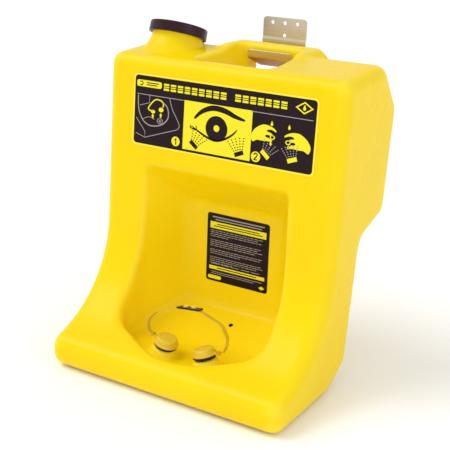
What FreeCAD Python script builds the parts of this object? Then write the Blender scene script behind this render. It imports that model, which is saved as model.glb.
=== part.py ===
import FreeCAD, Part
import math
import os

os.makedirs("parts", exist_ok=True)
V = FreeCAD.Vector

# ---------------------------------------------------------------- driving dimensions (mm)
# Tank frame used while drawing: X to the right, +Y to the back, +Z up, y = 0 at the top of
# the front face, z = 0 under the base.  Everything is moved to the wall-screw origin at the end.
TANK_W = 440.0          # width over the flat sides
WALL = 4.0              # moulded wall thickness
EDGE_R = 20.0           # rounding of all outer edges
TOP_FRONT_Z = 512.0
TOP_BACK_Z = 522.0
WALL_Y = 209.0          # plane of the wall the bracket is screwed to
SCREW_ROW_Z = 561.0     # height of the three-hole row

# hand hold
HOLD_HALF = 72.0        # half width of the pocket
HOLD_FRONT_Y = 30.0
HOLD_FLOOR_Z = 446.0
PASSAGE_HALF = 46.0      # half width of the way through under the bar
BAR_Y0, BAR_Y1 = 163.0, 199.0
BAR_Z0, BAR_Z1 = 503.0, 528.0
HUMP_HALF_TOP, HUMP_HALF_BASE = 76.0, 97.0

# bowl
BOWL_HALF = 138.0       # half width at the rim
BOWL_BACK_HALF = 96.0   # half width of the flat back wall
BOWL_BACK_Y = 66.0
BOWL_FRONT_Y = -145.0   # tip of the plan before it is rounded
BOWL_FLOOR_Z = 36.0
BOWL_TOP_Z = 338.0

# filler neck and cap, on an axis leaning back
NECK_X, NECK_Y, NECK_Z = -149.0, 92.0, 514.0
NECK_LEAN = 18.0
NECK_R, NECK_BORE_R = 43.0, 38.5
NECK_H = 35.0
CAP_R = 49.5
CAP_H = 18.0
CAP_TOP_H = 40.0

# spray heads
HEAD_X, HEAD_Y, HEAD_Z = 39.0, -84.0, 55.0
HEAD_LEAN = 16.0
COVER_R = 21.2

STRAP_W, STRAP_T = 10.0, 1.4
STRAP_LEAN = 11.5
STRAP_HALF = 76.0
STRAP_Z = 70.0          # height of the flat strap ends
PIN_X = 64.5
CLIP_RISE = 55.8        # middle of the clip above the strap ends
CLIP_TILT = 6.4         # the slack strap carries its clip a little lower on the left
DRAIN_X, DRAIN_Y = 17.0, 33.0
DRAIN_R, DRAIN_BORE_R = 3.9, 3.0

# wall bracket
PLATE_W = 84.0
PLATE_T = 2.0
PLATE_TOP_Z = 570.0
HOOK_FRONT_Y = 157.0    # inner face of the upturned lip
HOOK_LIP_Z = 518.0
HOOK_REST = (165.0, 502.5)   # the slope passes just under the front of the bar's base
HOOK_SLOPE = 0.40
JOGGLE = 1.5
HOLE_R = 3.3
HOLE_PITCH = 24.0
LOW_HOLE_DROP = 21.0

# labels
FRONT_LABEL_W, FRONT_LABEL_H = 335.0, 114.0
BOWL_LABEL_W, BOWL_LABEL_H = 123.0, 125.0
LABEL_SHIFT = 5.0
LABEL_T = 0.4

ORIGIN = V(0, WALL_Y, SCREW_ROW_Z)


# ---------------------------------------------------------------- helpers
def save(name, shape):
    s = shape.copy()
    s.translate(ORIGIN.negative())
    if s.ShapeType == "Compound" and len(s.Solids) == 1:
        s = s.Solids[0]
    s.exportStep("parts/%s.step" % name)
    return s


def rounded_wire(points, place):
    """Closed wire through (a, b, r) corners; place(a, b) gives the 3-D point."""
    n = len(points)
    ends = []
    for i, (a, b, r) in enumerate(points):
        pa, pb = points[i - 1][:2], points[(i + 1) % n][:2]
        u = V(pa[0] - a, pa[1] - b, 0)
        w = V(pb[0] - a, pb[1] - b, 0)
        u.normalize()
        w.normalize()
        half = 0.5 * math.acos(max(-1.0, min(1.0, u.dot(w))))
        if r <= 0 or half > math.radians(89.5):
            ends.append((V(a, b, 0), None, V(a, b, 0)))
            continue
        t = r / math.tan(half)
        c = V(a, b, 0)
        bis = u + w
        bis.normalize()
        ends.append((c + u * t, c + bis * (r / math.sin(half) - r), c + w * t))
    edges = []
    for i, (p0, pm, p1) in enumerate(ends):
        if pm is not None:
            edges.append(Part.Arc(place(p0), place(pm), place(p1)).toShape())
        q = ends[(i + 1) % n][0]
        if (q - p1).Length > 1e-6:
            edges.append(Part.makeLine(place(p1), place(q)))
    return Part.Wire(edges)


def face_yz(points, x, grow=0.0):
    f = Part.Face(rounded_wire(points, lambda p: V(x, p.x, p.y)))
    return f.makeOffset2D(grow, 2) if grow else f


def face_xy(points, z, grow=0.0):
    f = Part.Face(rounded_wire(points, lambda p: V(p.x, p.y, z)))
    return f.makeOffset2D(grow, 2) if grow else f


def face_xz(points, y, grow=0.0):
    f = Part.Face(rounded_wire(points, lambda p: V(p.x, y, p.y)))
    return f.makeOffset2D(grow, 2) if grow else f


def try_fillet(shape, radii, pick):
    """Round the picked edges with the first radius that gives a valid solid."""
    for r in radii:
        edges = [e for e in shape.Edges if pick(e)]
        if not edges:
            return shape
        try:
            s = shape.makeFillet(r, edges)
            if s.isValid() and s.Volume > 0:
                print("  rounded", len(edges), "edges with", r)
                return s
        except Exception:
            pass
    return shape


def mirror_points(right):
    return right + [(-a, b, r) for a, b, r in reversed(right)]


def cyl(r, h, base, axis=V(0, 0, 1)):
    return Part.makeCylinder(r, h, base, axis)


def ring(r1, r0, h, base, axis=V(0, 0, 1)):
    return cyl(r1, h, base, axis).cut(cyl(r0, h + 2, base - axis * 1.0, axis))


def revolve(points, base, axis):
    """Solid of revolution from an (r, h) outline about the axis through base."""
    pl = [V(r, 0, h) for r, h in points]
    f = Part.Face(Part.makePolygon(pl + [pl[0]]))
    s = f.revolve(V(0, 0, 0), V(0, 0, 1), 360)
    s.Placement = FreeCAD.Placement(base, FreeCAD.Rotation(V(0, 0, 1), axis))
    return s


# ---------------------------------------------------------------- tank body
body_profile = [
    (0.0, TOP_FRONT_Z, EDGE_R),
    (-21.0, 107.0, 184.0),
    (-166.0, 50.0, 22.0),
    (-166.0, 0.0, 22.0),
    (18.0, 0.0, 40.0),
    (75.0, 34.0, 30.0),
    (100.0, 240.0, 24.0),
    (188.0, 266.0, 24.0),
    (207.0, 448.0, 24.0),
    (148.0, TOP_BACK_Z, 30.0),
]


def body_solid(grow):
    half = TANK_W / 2 + grow
    s = face_yz(body_profile, -half, grow).extrude(V(2 * half, 0, 0))

    def at_side(e):
        return all(abs(abs(v.X) - half) < 1e-6 for v in e.Vertexes)
    return try_fillet(s, (EDGE_R + grow, 15.0 + grow, 10.0 + grow), at_side)


def bowl_solid(grow):
    plan = mirror_points([
        (BOWL_BACK_HALF, BOWL_BACK_Y, 28.0),
        (BOWL_HALF, -12.0, 60.0),
        (BOWL_HALF, -80.0, 45.0),
    ])
    plan.insert(3, (0.0, BOWL_FRONT_Y, 130.0))
    side = [
        (-230.0, BOWL_FLOOR_Z, 0.0),
        (-22.0, BOWL_FLOOR_Z, 60.0),
        (BOWL_BACK_Y, 78.0, 0.0),
        (BOWL_BACK_Y, 264.0, 0.0),
        (-60.0, 381.0, 0.0),
        (-230.0, 381.0, 0.0),
    ]
    a = face_xy(plan, 0.0, grow).extrude(V(0, 0, 420))
    b = face_yz(side, -200.0, grow).extrude(V(400, 0, 0))
    s = a.common(b).Solids[0]
    ceiling = V(0, 117.0, 126.0)
    ceiling.normalize()
    on_roof = ceiling.dot(V(0, BOWL_BACK_Y, 264.0)) + grow

    def roof_edge(e):
        pts = [e.valueAt(e.FirstParameter + k * 0.25 * (e.LastParameter - e.FirstParameter))
               for k in range(5)]
        flat = all(abs(ceiling.dot(q) - on_roof) < 0.05 for q in pts)
        return flat and (e.BoundBox.YLength > 0.1 or e.BoundBox.YMin > 0)

    def floor_edge(e):
        b = e.BoundBox
        if b.ZMax > 79.0 + grow or b.YMin < BOWL_FRONT_Y - grow - 1:
            return False
        return b.YLength > 0.5 or b.YMin > BOWL_BACK_Y - 1
    s = try_fillet(s, (20.0 + grow, 12.0 + grow), floor_edge)
    return try_fillet(s, (16.0, 12.0), roof_edge)


def hold_solid(grow):
    """Pocket of the carrying grip, open at the top in front of the bar."""
    plan = [
        (HOLD_HALF - 12.0, BAR_Y0, 14.0),
        (HOLD_HALF, HOLD_FRONT_Y, 16.0),
        (-HOLD_HALF, HOLD_FRONT_Y, 16.0),
        (-HOLD_HALF + 12.0, BAR_Y0, 14.0),
    ]
    f = face_xy(plan, HOLD_FLOOR_Z - grow, grow)
    return f.extrude(V(0, 0, 160))


def under_bar(grow):
    """Passage from the pocket under the bar to the back."""
    side = [
        (BAR_Y0 - 30.0, HOLD_FLOOR_Z, 0.0),
        (BAR_Y1 + 40.0, HOLD_FLOOR_Z - 14.0, 0.0),
        (BAR_Y1 + 40.0, BAR_Z0, 0.0),
        (BAR_Y0 - 30.0, BAR_Z0, 0.0),
    ]
    half = PASSAGE_HALF + grow
    return face_yz(side, -half, grow).extrude(V(2 * half, 0, 0))


def back_relief(grow):
    """Step behind the bar that the bracket hangs in."""
    half = PASSAGE_HALF + 6.0 + grow
    return Part.makeBox(2 * half, 60, 200, V(-half, BAR_Y1 - grow, BAR_Z0 - 84 - grow))


def hump_solid(grow):
    """Raised middle of the top, which carries the bar."""
    g = grow
    front = mirror_points([
        (HUMP_HALF_TOP + 0.7 * g, BAR_Z1 + g, 10.0),
        (HUMP_HALF_BASE + g, TOP_BACK_Z - 14.0, 16.0),
        (HUMP_HALF_BASE + g, 440.0, 0.0),
    ])
    side = [
        (60.0, 440.0, 0.0),
        (BAR_Y1 + g, 440.0, 0.0),
        (BAR_Y1 + g, BAR_Z1 + g, 9.0),
        (132.0, BAR_Z1 + g, 40.0),
        (60.0, 500.0, 0.0),
    ]
    a = face_xz(front, 40.0).extrude(V(0, 200, 0))
    b = face_yz(side, -140.0).extrude(V(280, 0, 0))
    return a.common(b)


neck_axis = V(0, math.sin(math.radians(NECK_LEAN)), math.cos(math.radians(NECK_LEAN)))
neck_base = V(NECK_X, NECK_Y, NECK_Z)


def neck_at(h):
    return neck_base + neck_axis * h


def neck_outer():
    r, crest = NECK_R, NECK_R + 1.6
    return revolve([(0, -28), (64, -28), (62, -18), (54.5, -8), (50, -2), (46.5, 5),
                    (44.2, 12), (r, 19), (r, 23), (crest, 24), (crest, 26), (r, 27),
                    (r, 29), (crest, 30), (crest, 32), (r, 33),
                    (r, NECK_H - 0.4), (0, NECK_H - 0.4)], neck_base, neck_axis)


def head_axis(side):
    a = math.radians(HEAD_LEAN)
    return V(-side * math.sin(a), 0, math.cos(a))


def head_at(side, t):
    return V(side * HEAD_X, HEAD_Y, HEAD_Z) + head_axis(side) * t


drain_slope = math.atan2(78.0 - BOWL_FLOOR_Z, BOWL_BACK_Y + 22.0)
drain_axis = V(0, math.sin(drain_slope), -math.cos(drain_slope))
drain_top = V(DRAIN_X, DRAIN_Y, BOWL_FLOOR_Z + (DRAIN_Y + 22.0) * math.tan(drain_slope))


def head_boss(side):
    """Moulded pedestal on the bowl floor, square to the leaning spray head."""
    return revolve([(0, -28), (29, -28), (27, -19), (22.2, -10), (19.6, -3), (18.6, -2),
                    (0, -2)], head_at(side, 0.0), head_axis(side))


def make_tank():
    outer = body_solid(0.0).fuse(hump_solid(0.0)).removeSplitter()
    hollow = body_solid(-WALL).fuse(hump_solid(-WALL)).removeSplitter()
    outer = outer.fuse(neck_outer())
    cuts = [bowl_solid(0.0), hold_solid(0.0), under_bar(0.0), back_relief(0.0)]
    grown = [bowl_solid(WALL), hold_solid(WALL), under_bar(WALL), back_relief(WALL)]
    for g in grown:
        hollow = hollow.cut(g)
    solids = sorted(hollow.Solids, key=lambda s: -s.Volume)
    print("  hollow parts", [round(s.Volume / 1e6, 3) for s in solids])
    hollow = solids[0]

    def bowl_rim(e, shell, grow):
        b = e.BoundBox
        half = BOWL_HALF + grow + 8
        if b.XMin < -half or b.XMax > half or b.ZMin < 40:
            return False
        if b.ZMax > BOWL_TOP_Z + grow + 12 or b.YMax > grow - 2:
            return False
        m = e.valueAt(0.5 * (e.FirstParameter + e.LastParameter))
        return shell.distToShape(Part.Vertex(m))[0] < 0.05
    front_out, front_in = front_of(0.0), front_of(-WALL)
    hollow = try_fillet(hollow, (8.0, 6.0, 4.0), lambda e: bowl_rim(e, front_in, WALL))
    for c in cuts:
        outer = outer.cut(c)
    print("  outer", outer.isValid(), len(outer.Solids), round(outer.Volume / 1e6, 2))

    def bar_front_low(e):
        b = e.BoundBox
        return (abs(b.ZMin - BAR_Z0) < 0.05 and abs(b.ZMax - BAR_Z0) < 0.05 and
                abs(b.YMin - BAR_Y0) < 1.5 and b.XLength > 40)
    outer = try_fillet(outer, (6.0, 4.0), bar_front_low)

    outer = try_fillet(outer, (13.5, 11.0, 6.5), lambda e: bowl_rim(e, front_out, 0.0))

    def hold_rim(e):
        b = e.BoundBox
        return (b.ZMin > TOP_FRONT_Z - 4 and b.YMin > HOLD_FRONT_Y - 1 and
                abs(b.XMin) < HOLD_HALF + 1 and abs(b.XMax) < HOLD_HALF + 1 and
                b.YMax < BAR_Y0 + 1)
    outer = try_fillet(outer, (7.0, 5.0, 3.0), hold_rim)
    bore = cyl(NECK_BORE_R, 70, neck_at(-24), neck_axis)
    for side in (-1, 1):
        seat = cyl(16.5, 10, head_at(side, -28.0), head_axis(side))
        hollow = hollow.cut(seat)
        boss = head_boss(side).cut(Part.makeBox(120, 120, 40, V(side * 60 - 60, -160, -6)))
        outer = outer.fuse(boss)
    body = outer.cut(hollow).cut(bore.cut(outer_keep(bore)))
    for side in (-1, 1):
        body = body.cut(cyl(10.2, 30, head_at(side, -30.0), head_axis(side)))
    body = body.cut(cyl(DRAIN_R + 0.1, 80, drain_top - drain_axis * 12, drain_axis))
    parts = sorted(body.Solids, key=lambda s: -s.Volume)
    print("  body", body.isValid(), [round(s.Volume / 1e3, 1) for s in parts][:6])
    print("  capacity", round((hollow.Volume) / 1e6, 2), "l")
    return parts[0], hollow


def outer_keep(bore):
    """Nothing of the bore is kept below the tank wall; it only opens the top."""
    return Part.makeBox(200, 200, 60, V(NECK_X - 100, NECK_Y - 100, 380))


def front_of(grow):
    """Front surface of the moulding, or of its inside when grow is negative."""
    return Part.Shell([f for f in body_solid(grow).Faces if f.BoundBox.YMax < 30 and
                       f.BoundBox.XMax - f.BoundBox.XMin > 300])


def front_face_point(s, x=0.0, off=0.0):
    """Point s mm down the front face from its top, off mm out of it."""
    ln = math.hypot(21.0, 405.0)
    return V(x, -21.0 / ln * s - 405.0 / ln * off, TOP_FRONT_Z - 405.0 / ln * s + 21.0 / ln * off)


def rounded_plate(corner, u, v, w, h, r, t):
    """Plate w x h x t with rounded corners; corner is one corner of its back face."""
    n = u.cross(v)

    def at(p):
        return corner + u * p.x + v * p.y
    f = Part.Face(rounded_wire([(0, 0, r), (w, 0, r), (w, h, r), (0, h, r)], at))
    return f.extrude(n * t)


def make_front_label():
    down = front_face_point(1.0) - front_face_point(0.0)
    top = front_face_point(31.0, LABEL_SHIFT - FRONT_LABEL_W / 2, 0.02)
    s = rounded_plate(top + down * FRONT_LABEL_H, V(1, 0, 0), down.negative(),
                      FRONT_LABEL_W, FRONT_LABEL_H, 6.0, LABEL_T)
    return s


def make_bowl_label():
    c = V(LABEL_SHIFT - BOWL_LABEL_W / 2, BOWL_BACK_Y - 0.02, 121.0)
    return rounded_plate(c, V(1, 0, 0), V(0, 0, 1), BOWL_LABEL_W, BOWL_LABEL_H, 5.0, LABEL_T)


def make_cap():
    body = revolve([(0, CAP_TOP_H), (CAP_R - 2.5, CAP_TOP_H), (CAP_R - 0.6, CAP_TOP_H - 0.8),
                    (CAP_R, CAP_TOP_H - 2.5), (CAP_R + 0.4, CAP_TOP_H - CAP_H),
                    (NECK_R + 2.3, CAP_TOP_H - CAP_H), (NECK_R + 2.3, CAP_TOP_H - 3.0),
                    (0, CAP_TOP_H - 3.0)], neck_base, neck_axis)
    rim = revolve([(CAP_R - 7.0, CAP_TOP_H - 0.6), (CAP_R - 6.0, CAP_TOP_H + 1.0),
                   (CAP_R - 5.0, CAP_TOP_H - 0.6)], neck_base, neck_axis)
    return body.cut(rim)


def make_cap_gasket():
    return ring(NECK_R + 0.8, NECK_BORE_R - 1.0, 1.8, neck_at(NECK_H - 0.1), neck_axis)


def make_bracket():
    y0, y1 = WALL_Y - PLATE_T, WALL_Y
    half = PLATE_W / 2
    up = Part.Face(rounded_wire([(-half, 536.0, 0), (half, 536.0, 0), (half, PLATE_TOP_Z, 7.0),
                                 (-half, PLATE_TOP_Z, 7.0)], lambda p: V(p.x, y0, p.y)))
    up = up.extrude(V(0, PLATE_T, 0))
    jog = [(y0, 536.0, 0), (y0 - JOGGLE, 532.0, 0), (y0 - JOGGLE, 524.0, 0),
           (y1 - JOGGLE, 524.0, 0), (y1 - JOGGLE, 532.0, 0), (y1, 536.0, 0)]
    mid = face_yz(jog, -half).extrude(V(PLATE_W, 0, 0))
    t = PLATE_T
    back = y0 - JOGGLE
    yr, zr = HOOK_REST

    def slope_z(y, drop=0.0):
        return zr + HOOK_SLOPE * (yr - y) - drop
    drop = t * math.hypot(1.0, HOOK_SLOPE)
    hook_side = [
        (y1 - JOGGLE, 524.0, 0.0), (y1 - JOGGLE, slope_z(y1 - JOGGLE, drop), 4.5),
        (HOOK_FRONT_Y - t, slope_z(HOOK_FRONT_Y - t, drop), 4.5),
        (HOOK_FRONT_Y - t, HOOK_LIP_Z, 0.6), (HOOK_FRONT_Y, HOOK_LIP_Z, 0.6),
        (HOOK_FRONT_Y, slope_z(HOOK_FRONT_Y), 2.5), (back, slope_z(back), 2.5),
        (back, 524.0, 0.0)]
    low = face_yz(hook_side, -half).extrude(V(PLATE_W, 0, 0))
    corners = face_xz([(-half, 470.0, 0), (half, 470.0, 0), (half, HOOK_LIP_Z, 5.0),
                       (-half, HOOK_LIP_Z, 5.0)], 140.0).extrude(V(0, 40, 0))
    rest = Part.makeBox(PLATE_W, 60, 80, V(-half, 180, 460))
    low = low.common(corners.fuse(rest))
    body = up.fuse(mid).fuse(low).removeSplitter()
    for x in (-HOLE_PITCH, 0.0, HOLE_PITCH):
        body = body.cut(cyl(HOLE_R, 10, V(x, y0 - 4, SCREW_ROW_Z), V(0, 1, 0)))
    body = body.cut(cyl(HOLE_R, 10, V(0, y0 - 4, SCREW_ROW_Z - LOW_HOLE_DROP), V(0, 1, 0)))
    return body


# ---------------------------------------------------------------- spray heads
def about_head(side, outline):
    return revolve(outline, head_at(side, 0.0), head_axis(side))


def make_head_body(side):
    base, ax = head_at(side, 0.0), head_axis(side)
    cup = about_head(side, [(0, 0), (19.2, 0), (20.2, 1.0), (20.2, 3.2), (19.0, 3.6),
                            (18.9, 5.6), (18.4, 6), (0, 6)])
    body = cup.fuse(cyl(9.8, 37.5, base - ax * 37.0, ax))
    for t in (-36.0, -34.0, -32.0, -30.0, -28.0):
        body = body.cut(ring(12, 9.3, 0.9, base + ax * t, ax))
    body = body.cut(about_head(side, [(0, 1.4), (13.8, 1.4), (13.8, 3.0), (14.6, 3.0),
                                      (14.6, 7), (0, 7)]))
    body = body.cut(cyl(6.0, 41, base - ax * 38.0, ax))
    return body.removeSplitter()


def make_spray_face(side):
    f = about_head(side, [(0, 3.1), (14.4, 3.1), (14.4, 5.2), (12.0, 5.8), (0, 6.2)])
    holes = [(0.0, 0.0)]
    for n, rr in ((6, 5.0), (12, 10.0)):
        holes += [(rr * math.cos(2 * math.pi * i / n), rr * math.sin(2 * math.pi * i / n))
                  for i in range(n)]
    ax = head_axis(side)
    e1 = V(ax.z, 0, -ax.x)
    for a, b in holes:
        f = f.cut(cyl(0.9, 8, head_at(side, 0.0) + e1 * a + V(0, b, 0), ax))
    return f


def make_stem_gasket(side):
    return ring(18.0, 10.0, 1.8, head_at(side, -1.9), head_axis(side))


def make_lock_nut(side):
    r, h = 16.0, 5.4
    pts = [(r * math.cos(math.pi * k / 3), r * math.sin(math.pi * k / 3), 1.5)
           for k in range(6)]
    nut = face_xy(pts, 0.0).extrude(V(0, 0, h)).cut(cyl(9.9, 20, V(0, 0, -5)))
    nut.Placement = FreeCAD.Placement(head_at(side, -28.1 - h),
                                      FreeCAD.Rotation(V(0, 0, 1), head_axis(side)))
    return nut


def make_screen(side):
    s = cyl(5.9, 0.8, V(0, 0, 0))
    for i in range(-3, 4):
        for j in range(-3, 4):
            if math.hypot(i, j) * 1.5 < 4.9:
                s = s.cut(cyl(0.5, 4, V(1.5 * i, 1.5 * j, -2.0)))
    s.Placement = FreeCAD.Placement(head_at(side, -36.5),
                                    FreeCAD.Rotation(V(0, 0, 1), head_axis(side)))
    return s


# ---------------------------------------------------------------- covers and strap
def leaned(shape):
    """From the upright drawing of the strap to its leaning place."""
    shape = shape.copy()
    shape.rotate(V(0, 0, 0), V(1, 0, 0), -STRAP_LEAN)
    shape.translate(V(0, HEAD_Y, STRAP_Z))
    return shape


def tilted(shape):
    """From the level drawing of the clip to its place at the top of the strap."""
    shape = shape.copy()
    shape.rotate(V(0, 0, 0), V(0, 1, 0), -CLIP_TILT)
    shape.translate(V(0, 0, CLIP_RISE))
    return shape


def make_cover(side):
    r = COVER_R
    c = about_head(side, [(0, 15.2), (14.0, 15.0), (16.0, 14.4), (17.2, 13.2), (r - 1.8, 7.0),
                          (r - 0.4, 6.4), (r, 5.8), (r, 3.8), (19.9, 3.8), (19.3, 6.0),
                          (15.6, 11.8), (14.4, 12.6), (0, 13.0)])
    x0 = PIN_X - 9.5
    lug = Part.makeBox(13.0, 8.0, 3.4, V(x0 if side > 0 else -x0 - 13.0, -4.0, -4.6))
    c = c.fuse(leaned(lug).cut(about_head(side, [(0, 2), (20.6, 2), (20.6, 6.0), (16.4, 12.6),
                                                 (0, 12.6)])))
    c = c.removeSplitter()
    pin = cyl(1.9, 20, V(side * PIN_X, 0, -10))
    return c.cut(leaned(pin))


def make_cover_seal(side):
    return about_head(side, [(15.6, 6.3), (18.8, 6.3), (17.8, 7.9), (15.6, 7.9)])


def make_strap():
    w, t = STRAP_W, STRAP_T
    edges = []
    x0 = PIN_X - 3.5
    path = [(x0, 0.0, 0.0), (74.0, 0.0, 8.0), (STRAP_HALF + 3.0, 24.0, 21.0),
            (64.0, 45.0, 25.0), (20.0, 58.05, 40.0),
            (-20.0, 53.55, 40.0), (-62.0, 38.0, 26.0), (-STRAP_HALF - 2.0, 20.0, 19.0),
            (-73.0, 0.0, 8.0), (-x0, 0.0, 0.0)]
    ends = []
    for i in range(len(path)):
        a, b, r = path[i]
        if r == 0.0:
            ends.append((V(a, 0, b), None, V(a, 0, b)))
            continue
        u = V(path[i - 1][0] - a, 0, path[i - 1][1] - b)
        q = V(path[i + 1][0] - a, 0, path[i + 1][1] - b)
        u.normalize()
        q.normalize()
        half = 0.5 * math.acos(max(-1.0, min(1.0, u.dot(q))))
        run = r / math.tan(half)
        bis = u + q
        bis.normalize()
        c = V(a, 0, b)
        ends.append((c + u * run, c + bis * (r / math.sin(half) - r), c + q * run))
    for i, (p0, pm, p1) in enumerate(ends):
        if pm is not None:
            edges.append(Part.Arc(p0, pm, p1).toShape())
        if i + 1 < len(ends) and (ends[i + 1][0] - p1).Length > 1e-6:
            edges.append(Part.makeLine(p1, ends[i + 1][0]))
    wire = Part.Wire(edges)
    sec = Part.makePolygon([V(x0, -w / 2, -t / 2), V(x0, w / 2, -t / 2), V(x0, w / 2, t / 2),
                            V(x0, -w / 2, t / 2), V(x0, -w / 2, -t / 2)])
    s = wire.makePipeShell([sec], True, True)
    for side in (-1, 1):
        s = s.cut(cyl(1.9, 20, V(side * PIN_X, 0, -10)))
        s = s.cut(tilted(cyl(1.6, 20, V(side * 7.5, 0, -10))))
    return leaned(s)


def make_strap_pin(side):
    x = side * PIN_X
    s = cyl(1.85, 5.4, V(x, 0, -4.6)).fuse(cyl(3.0, 1.0, V(x, 0, STRAP_T / 2 + 0.05)))
    return leaned(s)


def make_clip():
    s = rounded_plate(V(-21, -9, STRAP_T / 2 + 0.05), V(1, 0, 0), V(0, 1, 0), 42, 18, 2.0, 2.4)
    for side in (-1, 1):
        s = s.cut(cyl(1.6, 20, V(side * 7.5, 0, -8)))
    return leaned(tilted(s))


def make_clip_stud(side):
    top = STRAP_T / 2 + 2.5
    x = side * 7.5
    s = cyl(1.55, 6.2, V(x, 0, top - 5.6)).fuse(cyl(4.0, 2.2, V(x, 0, top)))
    s = s.fuse(cyl(2.8, 0.8, V(x, 0, -STRAP_T / 2 - 0.85)))
    return leaned(tilted(s))


def make_drain_tube():
    """Black tube through both walls of the base, square to the sloping bowl floor."""
    top = drain_top + drain_axis * 0.4
    reach = (top.z - 0.5965 * (top.y - 18.0)) / (-drain_axis.z + 0.5965 * drain_axis.y)
    s = cyl(DRAIN_R, reach + 0.5, top, drain_axis)
    return s.cut(cyl(DRAIN_BORE_R, reach + 20, drain_top - drain_axis * 8, drain_axis))


print("tank")
tank, water = make_tank()
done = {"tank_body": save("tank_body", tank)}
print("small parts")
for name, maker in (("front_label", make_front_label), ("bowl_label", make_bowl_label),
                    ("filler_cap", make_cap), ("cap_gasket", make_cap_gasket),
                    ("wall_bracket", make_bracket), ("activation_strap", make_strap),
                    ("strap_clip", make_clip), ("drain_tube", make_drain_tube)):
    done[name] = save(name, maker())
for word, side in (("left", -1), ("right", 1)):
    for name, maker in (("spray_head", make_head_body), ("spray_face", make_spray_face),
                        ("stem_gasket", make_stem_gasket), ("lock_nut", make_lock_nut),
                        ("inlet_screen", make_screen), ("cover", make_cover),
                        ("cover_seal", make_cover_seal), ("strap_pin", make_strap_pin),
                        ("clip_stud", make_clip_stud)):
        done["%s_%s" % (name, word)] = save("%s_%s" % (name, word), maker(side))

for name, s in sorted(done.items()):
    b = s.BoundBox
    print("%-18s valid=%s solids=%d vol=%.2f cm3  x %.1f..%.1f y %.1f..%.1f z %.1f..%.1f" % (
        name, s.isValid(), len(s.Solids), s.Volume / 1e3, b.XMin, b.XMax, b.YMin, b.YMax,
        b.ZMin, b.ZMax))
density = {"tank_body": 0.95e-3}
m = sum(s.Volume * density.get(n, 1.2e-3) for n, s in done.items() if n != "wall_bracket")
c = V(0, 0, 0)
for n, s in done.items():
    if n != "wall_bracket":
        c = c + s.CenterOfMass * (s.Volume * density.get(n, 1.2e-3) / m)
c = c + ORIGIN
print("empty mass %.2f kg, centre x %.0f y %.0f z %.0f in the tank frame" % (m / 1e3, c.x, c.y, c.z))
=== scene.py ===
import bmesh
import bpy
import math
import numpy as np
from mathutils import Matrix, Vector


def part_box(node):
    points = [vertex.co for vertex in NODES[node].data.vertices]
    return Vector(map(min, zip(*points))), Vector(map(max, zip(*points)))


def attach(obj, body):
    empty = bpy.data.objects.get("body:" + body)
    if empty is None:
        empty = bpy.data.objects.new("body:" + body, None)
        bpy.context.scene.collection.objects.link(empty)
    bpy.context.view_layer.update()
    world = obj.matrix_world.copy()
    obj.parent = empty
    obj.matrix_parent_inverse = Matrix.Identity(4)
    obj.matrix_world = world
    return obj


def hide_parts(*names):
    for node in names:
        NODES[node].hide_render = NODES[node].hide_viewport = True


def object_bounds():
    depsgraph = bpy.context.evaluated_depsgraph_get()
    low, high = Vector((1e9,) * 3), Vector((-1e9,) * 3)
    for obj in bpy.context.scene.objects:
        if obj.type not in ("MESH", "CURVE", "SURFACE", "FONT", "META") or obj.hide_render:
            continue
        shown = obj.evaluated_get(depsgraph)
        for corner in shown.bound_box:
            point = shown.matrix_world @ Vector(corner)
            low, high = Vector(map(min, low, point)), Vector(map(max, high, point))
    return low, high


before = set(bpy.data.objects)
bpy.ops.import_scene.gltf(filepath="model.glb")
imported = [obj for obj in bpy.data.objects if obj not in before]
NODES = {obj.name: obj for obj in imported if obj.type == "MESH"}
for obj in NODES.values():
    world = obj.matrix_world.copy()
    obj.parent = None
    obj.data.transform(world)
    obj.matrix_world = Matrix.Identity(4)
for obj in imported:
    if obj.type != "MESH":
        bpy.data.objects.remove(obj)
CAD_BOX = [list(c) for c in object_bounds()]
MM = 0.001

# The drawing frame of the tank: y = 0 at the top of the front face, z = 0 under the base.
# Sizes are in millimetres; TO_ROW, the lights, the floor and the shaders are in metres.
TO_ROW = Vector((0.0, -0.209, -0.561))
FACE_LEAN = math.atan2(21.0, 405.0)
NECK_LEAN = math.radians(18.0)
NECK_BASE = Vector((-149.0, 92.0, 514.0))
NECK_AXIS = Vector((0.0, math.sin(NECK_LEAN), math.cos(NECK_LEAN)))

# camera: where it looks from, and how far
CAM_AZIMUTH, CAM_ELEVATION, CAM_ROLL = 30.732, 18.516, 2.063
CAM_TARGET = Vector((0.0, 100.0, 222.125))
CAM_SHIFT = 35.848         # aim point left of the target
CAM_DISTANCE = 1713.656
CAM_SENSOR, CAM_LENS = 36.0, 78.76

# spray heads, strap ends and bowl
HEAD_X, HEAD_Y, HEAD_Z = 39.0, -84.0, 55.0
HEAD_LEAN = 16.0
STRAP_LEAN = -11.5
STRAP_Z = 70.0
BOWL_FLOOR_Z = 36.0
BOWL_BACK_Z = 78.0         # height at which the bowl floor meets the back wall
BOWL_BACK_Y = 66.0
FLOOR_BREAK_Y = -22.0      # the floor slopes up from here to the back wall
DRAIN_X, DRAIN_Y = 17.0, 33.0
UNDER_SLOPE, UNDER_Y = 0.5965, 18.0   # underside of the base behind the bowl

# remade tank surface
VOXEL = 2.75
RELAX_ROUNDS = 9
RELAX_STEP = 0.55
DRAIN_CUT_R, DRAIN_HOLE_R = 5.4, 3.95

# neck thread
THREAD_STEPS, THREAD_TURNS, THREAD_PITCH = 180, 1.15, 8.0
THREAD_START, THREAD_DEPTH = 23.4, 1.65
THREAD_FADE_STEPS = 14.0

# labels: plate sizes, and the heights of the layers of ink
FRONT_W, FRONT_H = 335.0, 114.0
BOWL_W = 123.0
FILM_LIFT, FILM_MARGIN = 0.16, 3.2
INK, INK_2, INK_3, INK_DOTS = 0.40, 0.46, 0.51, 0.52
THIN = 0.05
SPRAY_COLUMNS, SPRAY_ROWS, SPRAY_SPREAD = 5, 5, 46


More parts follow.
